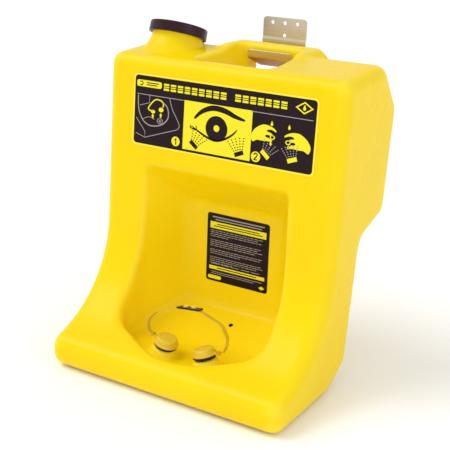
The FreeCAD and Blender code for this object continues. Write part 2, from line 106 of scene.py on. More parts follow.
def row(x, y, z):
    """Drawing millimetres to row metres."""
    return Vector((x, y, z)) * MM + TO_ROW


# ------------------------------------------------------------------ camera, lights, floor
def make_camera():
    az, el, roll = (math.radians(a) for a in (CAM_AZIMUTH, CAM_ELEVATION, CAM_ROLL))
    back = Vector((math.sin(az) * math.cos(el), -math.cos(az) * math.cos(el), math.sin(el)))
    right = Vector((math.cos(az), math.sin(az), 0.0))
    up = back.cross(right)
    r2 = right * math.cos(roll) + up * math.sin(roll)
    u2 = up * math.cos(roll) - right * math.sin(roll)
    place = row(*(CAM_TARGET - right * CAM_SHIFT + back * CAM_DISTANCE))
    data = bpy.data.cameras.new("camera")
    data.sensor_width, data.lens = CAM_SENSOR, CAM_LENS
    data.clip_start, data.clip_end = 0.05, 100.0
    cam = bpy.data.objects.new("camera", data)
    m = Matrix((r2, u2, back)).transposed().to_4x4()
    m.translation = place
    cam.matrix_world = m
    bpy.context.scene.collection.objects.link(cam)
    bpy.context.scene.camera = cam


def area_light(name, place, aim, size, power):
    data = bpy.data.lights.new(name, "AREA")
    data.shape, data.size, data.size_y = "RECTANGLE", size[0], size[1]
    data.energy = power
    ob = bpy.data.objects.new(name, data)
    ob.matrix_world = (Vector(aim) - Vector(place)).to_track_quat("-Z", "Y").to_matrix().to_4x4()
    ob.matrix_world.translation = Vector(place)
    bpy.context.scene.collection.objects.link(ob)


def make_stage():
    me = bpy.data.meshes.new("floor")
    bm = bmesh.new()
    bmesh.ops.create_grid(bm, x_segments=8, y_segments=8, size=14.0)
    bm.to_mesh(me)
    bm.free()
    floor = bpy.data.objects.new("floor", me)
    floor.location = (0.0, 0.0, CAD_BOX[0][2] - 0.0015)
    bpy.context.scene.collection.objects.link(floor)
    mat = bpy.data.materials.new("floor_pale")
    mat.use_nodes = True
    b = mat.node_tree.nodes["Principled BSDF"]
    b.inputs["Base Color"].default_value = (0.97, 0.97, 0.97, 1)
    b.inputs["Roughness"].default_value = 0.9
    b.inputs["Specular IOR Level"].default_value = 0.1
    me.materials.append(mat)
    world = bpy.data.worlds.new("studio")
    world.use_nodes = True
    bg = world.node_tree.nodes["Background"]
    bg.inputs["Color"].default_value = (1.0, 1.0, 1.0, 1)
    bg.inputs["Strength"].default_value = 0.80
    bpy.context.scene.world = world
    bpy.context.scene.view_settings.view_transform = "Standard"
    mid = row(0, 40, 260)
    # one broad overhead source gives the long soft highlights; two weak fills even out the rest
    data = bpy.data.lights.new("overhead_broad", "SUN")
    data.energy, data.angle = 1.10, math.radians(36.0)
    sun = bpy.data.objects.new("overhead_broad", data)
    sun.rotation_euler = Vector((0.50, 0.30, -0.81)).to_track_quat("-Z", "Y").to_euler()
    bpy.context.scene.collection.objects.link(sun)
    area_light("front_fill", (0.5, -2.6, 0.3), mid, (1.8, 1.4), 5.0)
    area_light("side_fill", (2.5, -0.9, 0.5), mid, (1.4, 1.8), 8.0)


# ------------------------------------------------------------------ materials
class Nodes:
    """Small helper that keeps node building readable."""

    def __init__(self, name):
        self.mat = bpy.data.materials.new(name)
        self.mat.use_nodes = True
        self.tree = self.mat.node_tree
        self.bsdf = self.tree.nodes["Principled BSDF"]
        self.coord = self.tree.nodes.new("ShaderNodeTexCoord").outputs["Object"]

    def add(self, kind, **sockets):
        n = self.tree.nodes.new("ShaderNode" + kind)
        for k, v in sockets.items():
            n.inputs[k].default_value = v
        return n

    def link(self, a, b):
        self.tree.links.new(a, b)

    def feed(self, value, socket):
        """A number, a colour or another node's output into a socket."""
        if isinstance(value, (int, float)):
            socket.default_value = value
        elif isinstance(value, tuple):
            socket.default_value = (*value, 1.0)
        else:
            self.link(value, socket)

    def scaled(self, sx, sy, sz):
        m = self.add("Mapping", Scale=(sx, sy, sz))
        self.link(self.coord, m.inputs["Vector"])
        return m.outputs["Vector"]

    def noise(self, scale, detail=4.0, rough=0.55, vector=None):
        n = self.add("TexNoise", Scale=scale, Detail=detail, Roughness=rough)
        self.link(vector or self.coord, n.inputs["Vector"])
        return n.outputs["Fac"]

    def span(self, value, lo, hi, a=0.0, b=1.0):
        n = self.add("MapRange")
        for k, v in zip(("From Min", "From Max", "To Min", "To Max"), (lo, hi, a, b)):
            n.inputs[k].default_value = v
        self.link(value, n.inputs["Value"])
        return n.outputs["Result"]

    def mix(self, fac, a, b):
        n = self.add("Mix")
        n.data_type = "RGBA"
        for v, s in ((fac, n.inputs["Factor"]), (a, n.inputs[6]), (b, n.inputs[7])):
            self.feed(v, s)
        return n.outputs[2]

    def math(self, op, a, b):
        n = self.add("Math")
        n.operation = op
        self.feed(a, n.inputs[0])
        self.feed(b, n.inputs[1])
        return n.outputs[0]

    def bump(self, height, strength, distance, after=None):
        n = self.add("Bump", Strength=strength, Distance=distance)
        self.link(height, n.inputs["Height"])
        if after is not None:
            self.link(after, n.inputs["Normal"])
        return n.outputs["Normal"]

    def finish(self, colour, rough, normal):
        for v, k in ((colour, "Base Color"), (rough, "Roughness"), (normal, "Normal")):
            self.link(v, self.bsdf.inputs[k])
        return self.mat


def tank_material():
    n = Nodes("tank_yellow_hdpe")
    cloud = n.noise(7.0, 3.0)
    mottle = n.noise(60.0, 5.0, 0.6)
    base = n.mix(n.span(cloud, 0.35, 0.7), (0.875, 0.625, 0.0008), (0.905, 0.66, 0.0015))
    base = n.mix(n.span(mottle, 0.4, 0.75, 0.0, 0.35), base, (0.855, 0.60, 0.001))
    # a few pale rub marks, thin and along the length of the moulding
    streak = n.noise(26.0, 8.0, 0.7, n.scaled(1.0, 0.6, 9.0))
    rub = n.span(streak, 0.66, 0.74)
    # painted light: the bowl and the grip pocket, found by ambient occlusion, are painted paler to
    # stand in for the light that fills them
    bowl_painted_light = n.add("AmbientOcclusion", Distance=0.16)
    bowl_painted_light.only_local = True
    base = n.mix(n.span(bowl_painted_light.outputs["AO"], 0.35, 0.95, 0.9, 0.0), base, (0.985, 0.765, 0.013))
    # painted highlight: convex edges, found by pointiness, are painted paler to stand in for the
    # highlights along them
    edge = n.span(n.add("NewGeometry").outputs["Pointiness"], 0.506, 0.53)
    base = n.mix(n.math("MULTIPLY", edge, 0.75), base, (0.965, 0.80, 0.075))
    base = n.mix(n.math("MULTIPLY", rub, 0.22), base, (0.95, 0.74, 0.06))
    rough = n.math("ADD", n.span(cloud, 0.3, 0.7, 0.24, 0.33), n.math("MULTIPLY", rub, 0.12))
    peel = n.noise(420.0, 2.0, 0.5)
    wave = n.noise(22.0, 2.0, 0.5)
    nrm = n.bump(peel, 0.30, 0.00016)
    nrm = n.bump(wave, 0.35, 0.0011, nrm)
    n.bsdf.inputs["IOR"].default_value = 1.50
    n.bsdf.inputs["Specular IOR Level"].default_value = 0.125
    n.bsdf.inputs["Subsurface Weight"].default_value = 0.06
    n.bsdf.inputs["Subsurface Radius"].default_value = (0.004, 0.003, 0.0005)
    n.bsdf.inputs["Subsurface Scale"].default_value = 1.0
    return n.finish(base, rough, nrm)


def moulded(name, colour, worn, rough, grain, bump, spec=0.3):
    """Moulded plastic: two shades, fine grain, roughness that varies a little."""
    n = Nodes(name)
    cloud = n.noise(35.0, 4.0)
    fine = n.noise(grain, 3.0, 0.6)
    base = n.mix(n.span(cloud, 0.4, 0.75, 0.0, 0.8), colour, worn)
    scuff = n.span(n.noise(90.0, 8.0, 0.72, n.scaled(1.0, 1.0, 5.0)), 0.64, 0.72)
    base = n.mix(n.math("MULTIPLY", scuff, 0.25), base, worn)
    r = n.math("ADD", n.span(fine, 0.3, 0.7, rough - 0.05, rough + 0.05),
               n.math("MULTIPLY", scuff, 0.15))
    nrm = n.bump(fine, bump, 0.00012)
    n.bsdf.inputs["Specular IOR Level"].default_value = spec
    return n.finish(base, r, nrm)


def steel_material(name, along, tint=(0.60, 0.53, 0.43), paint_underside_shade=False):
    """Brushed stainless with hair lines running along one axis."""
    n = Nodes(name)
    sx, sy, sz = [(3.0 if k == along else 260.0) for k in "xyz"]
    hair = n.noise(4.0, 6.0, 0.7, n.scaled(sx, sy, sz))
    cloud = n.noise(18.0, 4.0)
    base = n.mix(n.span(hair, 0.35, 0.65), tint, tuple(min(1.0, c * 1.18) for c in tint))
    base = n.mix(n.span(cloud, 0.5, 0.8, 0.0, 0.25), base, (0.42, 0.36, 0.29))
    n.bsdf.inputs["Metallic"].default_value = 1.0
    n.bsdf.inputs["Anisotropic"].default_value = 0.4
    rough = n.math("ADD", n.span(hair, 0.3, 0.7, 0.26, 0.40), n.span(cloud, 0.4, 0.8, 0.0, 0.08))
    if paint_underside_shade:
        # painted shade: the faces that look down are painted reddish brown and made less metallic,
        # standing in for shade with the yellow tank's reflection in it
        axes = n.add("SeparateXYZ")
        n.link(n.add("NewGeometry").outputs["Normal"], axes.inputs[0])
        underside_painted_shade = n.span(axes.outputs["Z"], -0.5, -0.8)
        base = n.mix(underside_painted_shade, base, (0.36, 0.13, 0.035))
        rough = n.math("ADD", rough, n.math("MULTIPLY", underside_painted_shade, 0.2))
        n.link(n.span(underside_painted_shade, 0.0, 1.0, 1.0, 0.15), n.bsdf.inputs["Metallic"])
    return n.finish(base, rough, n.bump(hair, 0.2, 0.00006))


def vinyl(name, colour, other, rough):
    """Printed vinyl: even ink with a faint mottle and a slightly uneven gloss."""
    n = Nodes(name)
    mott = n.noise(500.0, 3.0, 0.6)
    cloud = n.noise(25.0, 3.0)
    base = n.mix(n.span(mott, 0.35, 0.7, 0.0, 0.7), colour, other)
    nrm = n.bump(n.noise(160.0, 2.0), 0.08, 0.0001)
    n.bsdf.inputs["Specular IOR Level"].default_value = 0.12
    return n.finish(base, n.span(cloud, 0.3, 0.7, rough - 0.05, rough + 0.08), nrm)


# ------------------------------------------------------------------ mesh helpers
def new_object(name, bm_or_mesh, mat, body, smooth=True):
    if isinstance(bm_or_mesh, bmesh.types.BMesh):
        me = bpy.data.meshes.new(name)
        bm_or_mesh.to_mesh(me)
        bm_or_mesh.free()
    else:
        me = bm_or_mesh
        me.name = name
    me.materials.clear()
    me.materials.append(mat)
    if smooth:
        me.polygons.foreach_set("use_smooth", [True] * len(me.polygons))
    ob = bpy.data.objects.new(name, me)
    bpy.context.scene.collection.objects.link(ob)
    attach(ob, body)
    return ob


def spline(points, closed=False, steps=6):
    """Catmull-Rom through 2-D points."""
    n = len(points)
    out = []
    for i in range(n if closed else n - 1):
        p = [points[(i + k) % n] if closed else points[min(max(i + k, 0), n - 1)]
             for k in (-1, 0, 1, 2)]
        for s in range(steps):
            t = s / steps
            out.append(tuple(
                0.5 * (2 * b + (c - a) * t + (2 * a - 5 * b + 4 * c - d) * t * t +
                       (3 * b - a - 3 * c + d) * t ** 3)
                for a, b, c, d in zip(*p)))
    if not closed:
        out.append(tuple(points[-1]))
    return out


def ribbon(points, width, steps=6, taper=None):
    """Outline of a line of some width drawn through points."""
    pts = spline(points, False, steps) if steps > 1 else list(points)
    left, right = [], []
    for i, (x, y) in enumerate(pts):
        a, b = pts[max(i - 1, 0)], pts[min(i + 1, len(pts) - 1)]
        dx, dy = b[0] - a[0], b[1] - a[1]
        ln = math.hypot(dx, dy) or 1.0
        w = 0.5 * width
        if taper:
            t = i / (len(pts) - 1)
            w *= taper(t)
        left.append((x - dy / ln * w, y + dx / ln * w))
        right.append((x + dy / ln * w, y - dx / ln * w))
    return left + right[::-1]


def disc(cx, cy, r, n=36, sy=1.0):
    return [(cx + r * math.cos(2 * math.pi * k / n), cy + sy * r * math.sin(2 * math.pi * k / n))
            for k in range(n)]


def slab(x0, y0, x1, y1, r=0.0):
    if r <= 0:
        return [(x0, y0), (x1, y0), (x1, y1), (x0, y1)]
    out = []
    for cx, cy, a0 in ((x1 - r, y0 + r, -90), (x1 - r, y1 - r, 0), (x0 + r, y1 - r, 90),
                       (x0 + r, y0 + r, 180)):
        for k in range(6):
            a = math.radians(a0 + 18 * k)
            out.append((cx + r * math.cos(a), cy + r * math.sin(a)))
    return out


def turned(points, cx, cy, deg):
    a = math.radians(deg)
    return [(cx + x * math.cos(a) - y * math.sin(a), cy + x * math.sin(a) + y * math.cos(a))
            for x, y in points]


class Label:
    """Ink laid on a plate, in millimetres from the plate's lower left corner."""

    def __init__(self, name, origin, u, v, n, body):
        self.name, self.o, self.u, self.v, self.n, self.body = name, origin, u, v, n, body
        self.made = []

    def at(self, x, y, lift):
        return self.o + (self.u * x + self.v * y + self.n * lift) * MM

    def ink(self, word, shapes, mat, lift, thick=0.06):
        bm = bmesh.new()
        for pts in shapes:
            clean = [p for i, p in enumerate(pts)
                     if math.hypot(p[0] - pts[i - 1][0], p[1] - pts[i - 1][1]) > 0.02]
            if len(clean) < 3:
                continue
            area = sum(a[0] * b[1] - b[0] * a[1] for a, b in zip(clean, clean[1:] + clean[:1]))
            if area < 0:
                clean.reverse()
            vs = [bm.verts.new(self.at(x, y, lift)) for x, y in clean]
            f = bm.faces.new(vs)
            ext = bmesh.ops.extrude_face_region(bm, geom=[f])
            top = [g for g in ext["geom"] if isinstance(g, bmesh.types.BMVert)]
            bmesh.ops.translate(bm, vec=self.n * thick * MM, verts=top)
        bmesh.ops.triangulate(bm, faces=bm.faces[:])
        bmesh.ops.recalc_face_normals(bm, faces=bm.faces[:])
        self.made.append(new_object("%s_%s" % (self.name, word), bm, mat, self.body,
                                    smooth=False))


def lathe(outline, base, axis, turns=96, closed=True):
    """Ring of revolution in a bmesh from (radius, height) points in millimetres."""
    bm = bmesh.new()
    frame_z = axis.normalized()
    frame_x = frame_z.orthogonal().normalized()
    frame_y = frame_z.cross(frame_x)
    rings = []
    for r, h in outline:
        centre = base + frame_z * h
        if r < 1e-6:
            rings.append([bm.verts.new(row(*centre))])
            continue
        spokes = [frame_x * math.cos(a) + frame_y * math.sin(a)
                  for a in (2 * math.pi * k / turns for k in range(turns))]
        rings.append([bm.verts.new(row(*(centre + d * r))) for d in spokes])
    for a, b in zip(rings, rings[1:] + (rings[:1] if closed else [])):
        for k in range(turns):
            j = (k + 1) % turns
            if len(a) == 1 and len(b) == 1:
                continue
            if len(a) == 1:
                bm.faces.new((a[0], b[j], b[k]))
            elif len(b) == 1:
                bm.faces.new((a[k], a[j], b[0]))
            else:
                bm.faces.new((a[k], a[j], b[j], b[k]))
    bmesh.ops.recalc_face_normals(bm, faces=bm.faces[:])
    return bm


def rounded_profile(points, steps=5):
    """(r, h, radius) corners to a smooth (r, h) outline."""
    out = []
    n = len(points)
    for i, (a, b, rad) in enumerate(points):
        if rad <= 0:
            out.append((a, b))
            continue
        p, q = Vector(points[i - 1][:2]), Vector(points[(i + 1) % n][:2])
        c = Vector((a, b))
        u, w = (p - c).normalized(), (q - c).normalized()
        half = 0.5 * math.acos(max(-1.0, min(1.0, u.dot(w))))
        run = rad / math.tan(half)
        s, e = c + u * run, c + w * run
        for k in range(steps + 1):
            t = k / steps
            m = s * (1 - t) ** 2 + c * 2 * t * (1 - t) + e * t * t
            out.append((m.x, m.y))
    return out


def dress(name, mat, bevel=0.0, angle=32.0):
    """Material for a CAD node, with its hard edges eased by a small bevel."""
    ob = NODES[name]
    ob.data.materials.clear()
    ob.data.materials.append(mat)
    weld = ob.modifiers.new("weld", "WELD")
    weld.merge_threshold = 2e-6
    if bevel > 0:
        b = ob.modifiers.new("edge", "BEVEL")
        b.width, b.segments = bevel * MM, 3
        b.limit_method, b.angle_limit = "ANGLE", math.radians(angle)
        b.harden_normals = True
        b.use_clamp_overlap = True


# ------------------------------------------------------------------ tank
def head_axis(side):
    a = math.radians(HEAD_LEAN)
    return Vector((-side * math.sin(a), 0, math.cos(a)))


def head_base(side):
    return Vector((side * HEAD_X, HEAD_Y, HEAD_Z))


def drain_line():
    """Top, direction and length of the drain, square to the sloping bowl floor."""
    slope = math.atan2(BOWL_BACK_Z - BOWL_FLOOR_Z, BOWL_BACK_Y - FLOOR_BREAK_Y)
    axis = Vector((0, math.sin(slope), -math.cos(slope)))
    top = Vector((DRAIN_X, DRAIN_Y, BOWL_FLOOR_Z + (DRAIN_Y - FLOOR_BREAK_Y) * math.tan(slope)))
    reach = (top.z - UNDER_SLOPE * (top.y - UNDER_Y)) / (-axis.z + UNDER_SLOPE * axis.y)
    return top, axis, reach


def plug(bm, base, axis, r, h0, h1, n=48):
    """Solid bar that closes a hole before the surface is remade."""
    m = axis.to_track_quat("Z", "Y").to_matrix().to_4x4()
    m.translation = row(*(base + axis * (0.5 * (h0 + h1))))
    bmesh.ops.create_cone(bm, cap_ends=True, segments=n, radius1=r * MM, radius2=r * MM,
                          depth=(h1 - h0) * MM, matrix=m)


def outer_island(me):
    """Only the outermost connected surface of a mesh is kept."""
    bm = bmesh.new()
    bm.from_mesh(me)
    start = min(bm.verts, key=lambda v: v.co.x)
    seen, stack = {start}, [start]
    while stack:
        for e in stack.pop().link_edges:
            for o in e.verts:
                if o not in seen:
                    seen.add(o)
                    stack.append(o)
    bmesh.ops.delete(bm, geom=[v for v in bm.verts if v not in seen], context="VERTS")
    bm.to_mesh(me)
    bm.free()


def relax(me, rounds):
    """Plain smoothing, which also rounds the moulded edges."""
    n = len(me.vertices)
    co = np.empty(n * 3)
    me.vertices.foreach_get("co", co)
    co = co.reshape(-1, 3)
    ed = np.empty(len(me.edges) * 2, dtype=np.int64)
    me.edges.foreach_get("vertices", ed)
    a, b = ed.reshape(-1, 2).T
    deg = np.bincount(a, minlength=n) + np.bincount(b, minlength=n)
    for _ in range(rounds):
        new = np.stack([np.bincount(a, co[b, k], n) + np.bincount(b, co[a, k], n)
                        for k in range(3)], 1) / deg[:, None]
        co = co + RELAX_STEP * (new - co)
    me.vertices.foreach_set("co", co.reshape(-1))
    me.update()


def make_tank(mat):
    me = NODES["tank_body"].data.copy()
    bm = bmesh.new()
    bm.from_mesh(me)
    plug(bm, NECK_BASE, NECK_AXIS, 40.5, -22, 33)
    for side in (-1, 1):
        plug(bm, head_base(side), head_axis(side), 12.0, -26, -3, 24)
    top, axis, reach = drain_line()
    plug(bm, top, axis, 7.0, 0.6, reach - 0.6, 24)
    bm.to_mesh(me)
    bm.free()
    tmp = bpy.data.objects.new("tmp", me)
    bpy.context.scene.collection.objects.link(tmp)
    mod = tmp.modifiers.new("voxel", "REMESH")
    mod.mode, mod.voxel_size = "VOXEL", VOXEL * MM
    out = bpy.data.meshes.new_from_object(
        tmp.evaluated_get(bpy.context.evaluated_depsgraph_get()))
    bpy.data.objects.remove(tmp)
    outer_island(out)
    relax(out, RELAX_ROUNDS)
    bm = bmesh.new()
    bm.from_mesh(out)
    gone = []
    for f in bm.faces:
        d = (f.calc_center_median() - row(*top)) / MM
        t = d.dot(axis)
        if -6 < t < reach + 8 and (d - axis * t).length < DRAIN_CUT_R:
            gone.append(f)
    edge = {v for f in gone for v in f.verts}
    bmesh.ops.delete(bm, geom=gone, context="FACES")
    for v in [v for v in edge if v.is_valid]:
        # the torn edge is drawn in to a clean round hole
        d = (v.co - row(*top)) / MM
        along = axis * d.dot(axis)
        v.co = row(*(top + along + (d - along).normalized() * DRAIN_HOLE_R))
    bm.to_mesh(out)
    bm.free()
    ob = new_object("tank_shell", out, mat, "tank")
    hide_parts("tank_body")


def make_neck(mat):
    """Threaded top of the neck, under the cap."""
    bm = lathe(rounded_profile([(38.5, 19.0, 0), (43.1, 19.0, 0), (43.1, 34.6, 0.8),
                                (38.5, 34.6, 0.8)]), NECK_BASE, NECK_AXIS, 120)
    x_axis = Vector((1, 0, 0))
    y_axis = NECK_AXIS.cross(x_axis)
    loops = []
    for k in range(THREAD_STEPS + 1):
        a = 2 * math.pi * THREAD_TURNS * k / THREAD_STEPS
        h = THREAD_START + THREAD_PITCH * THREAD_TURNS * k / THREAD_STEPS
        fade = min(1.0, min(k, THREAD_STEPS - k) / THREAD_FADE_STEPS)
        out_r = 42.9 + THREAD_DEPTH * fade
        d = x_axis * math.cos(a) + y_axis * math.sin(a)
        loops.append([bm.verts.new(row(*(NECK_BASE + NECK_AXIS * (h + dh) + d * r)))
                      for r, dh in ((42.7, -1.3), (out_r, -0.5), (out_r, 0.5), (42.7, 1.3))])
    for p, q in zip(loops, loops[1:]):
        for k in range(4):
            j = (k + 1) % 4
            bm.faces.new((p[k], p[j], q[j], q[k]))
    bm.faces.new(loops[0])
    bm.faces.new(loops[-1][::-1])
    bmesh.ops.recalc_face_normals(bm, faces=bm.faces[:])
    neck = new_object("neck_thread", bm, mat, "tank")


# ------------------------------------------------------------------ cap
def make_cap(mat):
    outline = rounded_profile([
        (0.0, 39.2, 0), (40.0, 39.2, 0.8), (41.4, 40.0, 0.6), (49.3, 40.0, 2.4),
        (49.9, 22.0, 0.7), (45.4, 22.0, 0.7), (45.4, 37.0, 0.5), (0.0, 37.0, 0)], 6)
    bm = lathe(outline, NECK_BASE, NECK_AXIS, 144, closed=False)
    cap = new_object("cap_shell", bm, mat, "cap")
    mod = cap.modifiers.new("normals", "WEIGHTED_NORMAL")
    mod.keep_sharp = True
    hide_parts("filler_cap")
    # shallow rings and the gate mark moulded into the top
    rings = bmesh.new()
    for r0, r1 in ((30.0, 31.4), (0.0, 2.2)):
        prof = [(r0, 39.0), (r0, 39.5), ((r0 + r1) / 2, 39.75), (r1, 39.5), (r1, 39.0)]
        part = lathe(prof, NECK_BASE, NECK_AXIS, 72, closed=r0 > 0)
        tmp = bpy.data.meshes.new("tmp")
        part.to_mesh(tmp)
        part.free()
        rings.from_mesh(tmp)
    ob = new_object("cap_top_rings", rings, mat, "cap")


# ------------------------------------------------------------------ labels
def fan(x, y, deg, gap, r):
    """Dots of spray opening out from a head."""
    out = []
    a = math.radians(deg)
    for i in range(SPRAY_COLUMNS):
        t = (i - (SPRAY_COLUMNS - 1) / 2) / (SPRAY_COLUMNS - 1)
        d = a + t * math.radians(SPRAY_SPREAD)
        px, py = x - math.sin(a) * t * 12, y + math.cos(a) * t * 12
        for k in range(SPRAY_ROWS):
            q = 5.4 + gap * k
            out.append(disc(px + math.cos(d) * q, py + math.sin(d) * q, r, 10))
    return out


def nozzle(x, y, deg):
    """Plain spray head: one block."""
    return [turned(slab(-4.4, -8.5, 2.6, 8.5), x, y, deg)]


def numeral(which, x, y, s):
    if which == 1:
        return [[(x - s * 0.10, y - s), (x + s * 0.26, y - s), (x + s * 0.26, y + s),
                 (x - s * 0.02, y + s), (x - s * 0.42, y + s * 0.55), (x - s * 0.42, y + s * 0.28),
                 (x - s * 0.10, y + s * 0.45)]]
    arc = [(-0.52, 0.50), (-0.34, 0.90), (0.10, 1.0), (0.46, 0.72), (0.42, 0.28), (0.02, -0.22),
           (-0.46, -0.78)]
    foot = [(-0.60, -1.0), (0.56, -1.0), (0.56, -0.70), (-0.60, -0.70)]
    return [ribbon([(x + a * s, y + b * s) for a, b in arc], 0.34 * s),
            [(x + a * s, y + b * s) for a, b in foot]]


def lozenge(x, y, half_w, half_h):
    return [(x - half_w, y), (x, y - half_h), (x + half_w, y), (x, y + half_h)]


def drop(x, y, s):
    pts = [(0, 1.5), (0.55, 0.45), (0.75, -0.2), (0.5, -0.8), (0, -1.05), (-0.5, -0.8),
           (-0.75, -0.2), (-0.55, 0.45)]
    return spline([(x + a * s, y + b * s) for a, b in pts], True, 4)


def make_front_label(dark, yellow, grey, margin):
    lo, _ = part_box("front_label")
    c, s = math.cos(FACE_LEAN), math.sin(FACE_LEAN)
    lab = Label("front_label", Vector((lo.x, lo.y, lo.z + 0.00002)), Vector((1, 0, 0)),
                Vector((0, s, c)), Vector((0, -c, s)), "tank")
    dress("front_label", dark, 0.12, 50)
    # clear margin of the film round the print
    bm = bmesh.new()
    rings = []
    for grow, r, lift in ((FILM_MARGIN, 8.0, FILM_LIFT), (0.0, 6.0, FILM_LIFT),
                          (FILM_MARGIN + 0.1, 8.0, -0.05)):
        outline = slab(-grow, -grow, FRONT_W + grow, FRONT_H + grow, r)
        rings.append([bm.verts.new(lab.at(x, y, lift)) for x, y in outline])
    a, b, d = rings
    for k in range(len(a)):
        j = (k + 1) % len(a)
        bm.faces.new((a[k], a[j], b[j], b[k]))
        bm.faces.new((d[k], d[j], a[j], a[k]))
    bmesh.ops.recalc_face_normals(bm, faces=bm.faces[:])
    rim = new_object("front_label_film", bm, margin, "tank", smooth=False)

    # plain pill and bars, in place of any name or title
    lab.ink("pill", [slab(3.5, 95.5, 53.0, 106.5, 3.6)], yellow, INK)
    hook = ribbon([(10, 98.5), (13.5, 98), (15.5, 101), (13.5, 104), (10, 103.5)], 1.6)
    lab.ink("pill_bars", [slab(23, 102, 47, 103.6), slab(23, 98.6, 44, 100.2), hook],
            dark, INK_2, THIN)
    bars, x = [], 57.0
    for blocks, gap in ((9, 16.0), (7, 0.0)):
        for _ in range(blocks):
            for y0, y1 in ((94.0, 97.6), (98.9, 100.7), (102.0, 105.4)):
                bars.append(slab(x, y0, x + 10.6, y1, 0.7))
            x += 13.6
        x += gap - 3.0
    lab.ink("title_bars", bars, yellow, INK)
    lab.ink("lozenge", [lozenge(314, 100, 15.5, 9.6)], yellow, INK)
    lab.ink("lozenge_in", [lozenge(314, 100, 11.6, 7.0)], dark, INK_2, THIN)
    lab.ink("lozenge_drop", [drop(314, 99.6, 3.4)], yellow, INK_3, THIN)
    # thin rules and the line drawing of the bowl
    lines = [slab(4.7, 82.4, 97, 83.6), slab(223, 82.4, 330, 83.6)]
    for pts, wd, st in (
            ([(7, 81), (7.4, 66), (10.6, 52), (19, 39), (31, 33), (45, 33.6), (58, 38.5),
              (67, 48), (68.4, 58), (64.8, 68), (57, 74)], 1.9, 6),
            ([(4.2, 43), (22.6, 21.8), (22.7, 11.4), (4.2, 17)], 1.2, 1),
            ([(22.7, 11.4), (86.7, 33.2)], 1.2, 1),
            ([(86.2, 32.8), (90.2, 42), (76, 65), (69.6, 82)], 1.3, 6),
            ([(10.8, 64), (30, 70.5), (30, 82)], 1.1, 1),
            ([(18, 42), (30, 47), (41, 44)], 1.0, 4)):
        lines.append(ribbon(pts, wd, st))
    lines.append(disc(52.0, 42.5, 6.0, 28, 0.8))
    lab.ink("rules", lines, grey, INK)
    lab.ink("bowl_ring_in", [disc(52.0, 42.5, 4.6, 28, 0.8)], dark, INK_2, THIN)
    lab.ink("bowl_ring_dot", [disc(52.0, 42.5, 2.2, 20, 0.8)], grey, INK_3, THIN)
    marks = [ribbon([(37, 58.5), (31, 58), (28.4, 62.6), (40, 75.8), (50.6, 77), (57.4, 72.6),
                     (57, 66)], 2.2, 6),
             disc(37.5, 56.5, 4.4, 24, 0.7), disc(53.5, 61.5, 4.8, 24, 0.8)]
    for ax, ay in ((37.4, 45.5), (53.2, 48.5)):
        marks.append([(ax - 1.5, ay), (ax + 1.5, ay), (ax + 1.5, ay + 4), (ax + 3, ay + 4),
                      (ax, ay + 7.6), (ax - 3, ay + 4), (ax - 1.5, ay + 4)])
    marks += [disc(84.7, 13.9, 8.0, 40), disc(235.8, 12.8, 8.4, 40)]
    lab.ink("strap_marks", marks, yellow, INK)
    lab.ink("numerals", numeral(1, 84.9, 13.9, 5.4) + numeral(2, 235.8, 12.8, 5.6),
            dark, INK_2, THIN)
    # middle panel with a plain eye
    lab.ink("panel", [slab(98.5, 4.0, 225.5, 84.0)], yellow, INK)
    brow = ribbon([(119, 57), (133, 70), (153, 78), (175, 76.5), (195, 70), (213, 66)], 9.0, 8,
                  lambda t: 0.12 + 0.88 * math.sin(math.pi * min(1.0, 0.04 + t * 0.93)) ** 0.7)
    lower = ribbon([(114, 44), (128, 37), (147, 29.0), (163, 27.0), (179, 32.5), (193, 42),
                    (199.5, 50)], 4.0, 8, lambda t: 0.15 + 0.85 * math.sin(math.pi * t) ** 0.6)
    lash = [ribbon([(111, 42.5), (117, 39.5), (126, 38.5)], 1.8),
            ribbon([(112.5, 45.5), (113.2, 40)], 1.5, 1), ribbon([(123, 45.5), (124, 39)], 1.5, 1)]
    lab.ink("eye", [brow, lower, disc(161.5, 46.0, 20.4, 56)] + lash, dark, INK_2, THIN)
    lab.ink("eye_dot", [disc(161.5, 46.5, 5.4, 28)], yellow, INK_3, THIN)
    sprays = nozzle(120.5, 14.6, 52) + nozzle(205.0, 13.4, 113)
    sprays += fan(120.5, 14.6, 60, 4.4, 1.15) + fan(205.0, 13.4, 108, 4.4, 1.15)
    lab.ink("eye_sprays", sprays, dark, INK_2, THIN)
    # right panel: two open hands, drops and sprays
    hand = [(-1, -3), (5, 7), (12, 12.5), (20, 16), (30, 15.6), (38, 12.6), (43, 8.8), (42, 7.0),
            (35, 9.6), (29, 9.0), (26.6, 6.4), (34, 4.4), (38.4, 1.0), (37.4, -0.8), (30, 0.8),
            (25.4, 0.4), (24.6, -2.4), (31, -4.0), (36.6, -6.6), (35.2, -9.2), (27, -9.0),
            (18, -9.6), (10, -9.4), (2, -13)]
    right = [spline([(226 + x, 49.5 + y) for x, y in hand], True, 3),
             spline([(328.5 - x * 1.04, 44.0 + y) for x, y in hand], True, 3)]
    right += [disc(263, 47.5, 4.6, 28, 0.8), disc(290.5, 43.5, 4.6, 28, 0.8)]
    right += [drop(260.5, 68.2, 3.0), drop(291, 66.6, 3.0), drop(260.6, 37.4, 2.6),
              drop(291.5, 36.2, 2.6)]
    right += nozzle(252.5, 19.5, 50) + nozzle(299.5, 18.5, 110)
    lab.ink("hands", right, yellow, INK)
    dots = fan(252.5, 19.5, 60, 3.8, 1.0) + fan(299.5, 18.5, 107, 3.8, 1.0)
    lab.ink("hand_sprays", dots, grey, INK_DOTS, THIN)
    lab.ink("hand_pupils", [disc(263, 47.5, 2.6, 18, 0.8), disc(290.5, 43.5, 2.6, 18, 0.8)],
            dark, INK_2, THIN)


